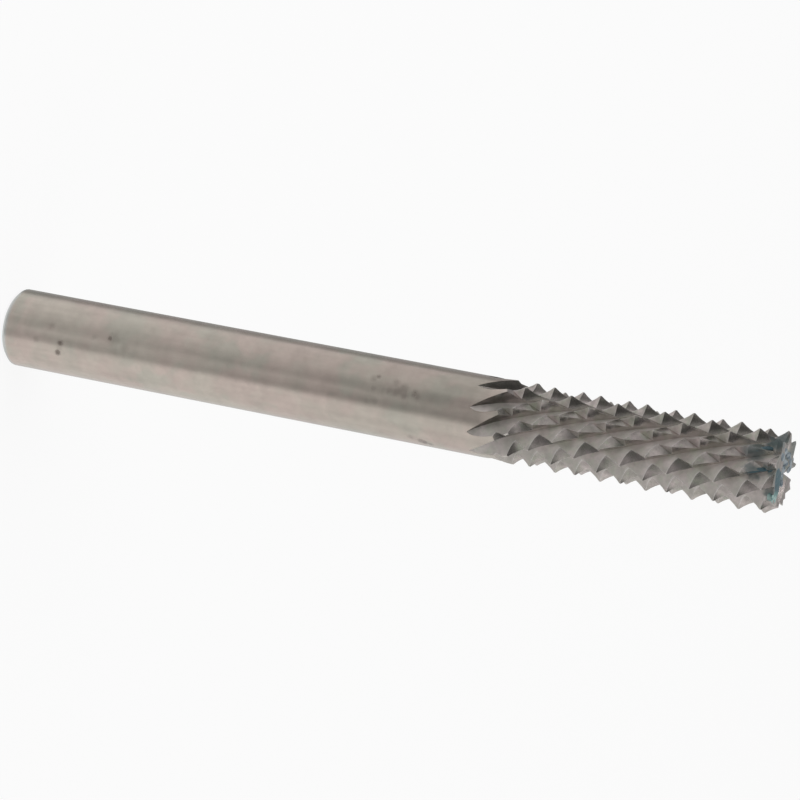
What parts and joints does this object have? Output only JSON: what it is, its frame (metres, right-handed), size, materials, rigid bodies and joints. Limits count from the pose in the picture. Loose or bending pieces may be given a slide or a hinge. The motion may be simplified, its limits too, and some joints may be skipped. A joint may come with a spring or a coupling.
{
  "type": "burr router bit",
  "caption": "Solid carbide router bit with a plain round shank and a cylindrical cutting head of crossed spiral grooves that leave pyramid teeth, with a gashed cutting end.",
  "frame": {"origin": "centre of the flat face at the shank's end, on which the bit stands", "axes": "+Z along the bit's axis, from the shank's end to the cutting tip; X and Y across it, with the deep end gash along X"},
  "size_m": [0.0049, 0.0048, 0.0494],
  "materials": {
    "carbide": "solid cemented carbide, round-ground shank with a warm grey sheen, wheel-ground bright teeth, a little blue-green wax left in the end gashes"
  },
  "bodies": {
    "root": {"burr_bit": "carbide"}
  },
  "joints": []
}
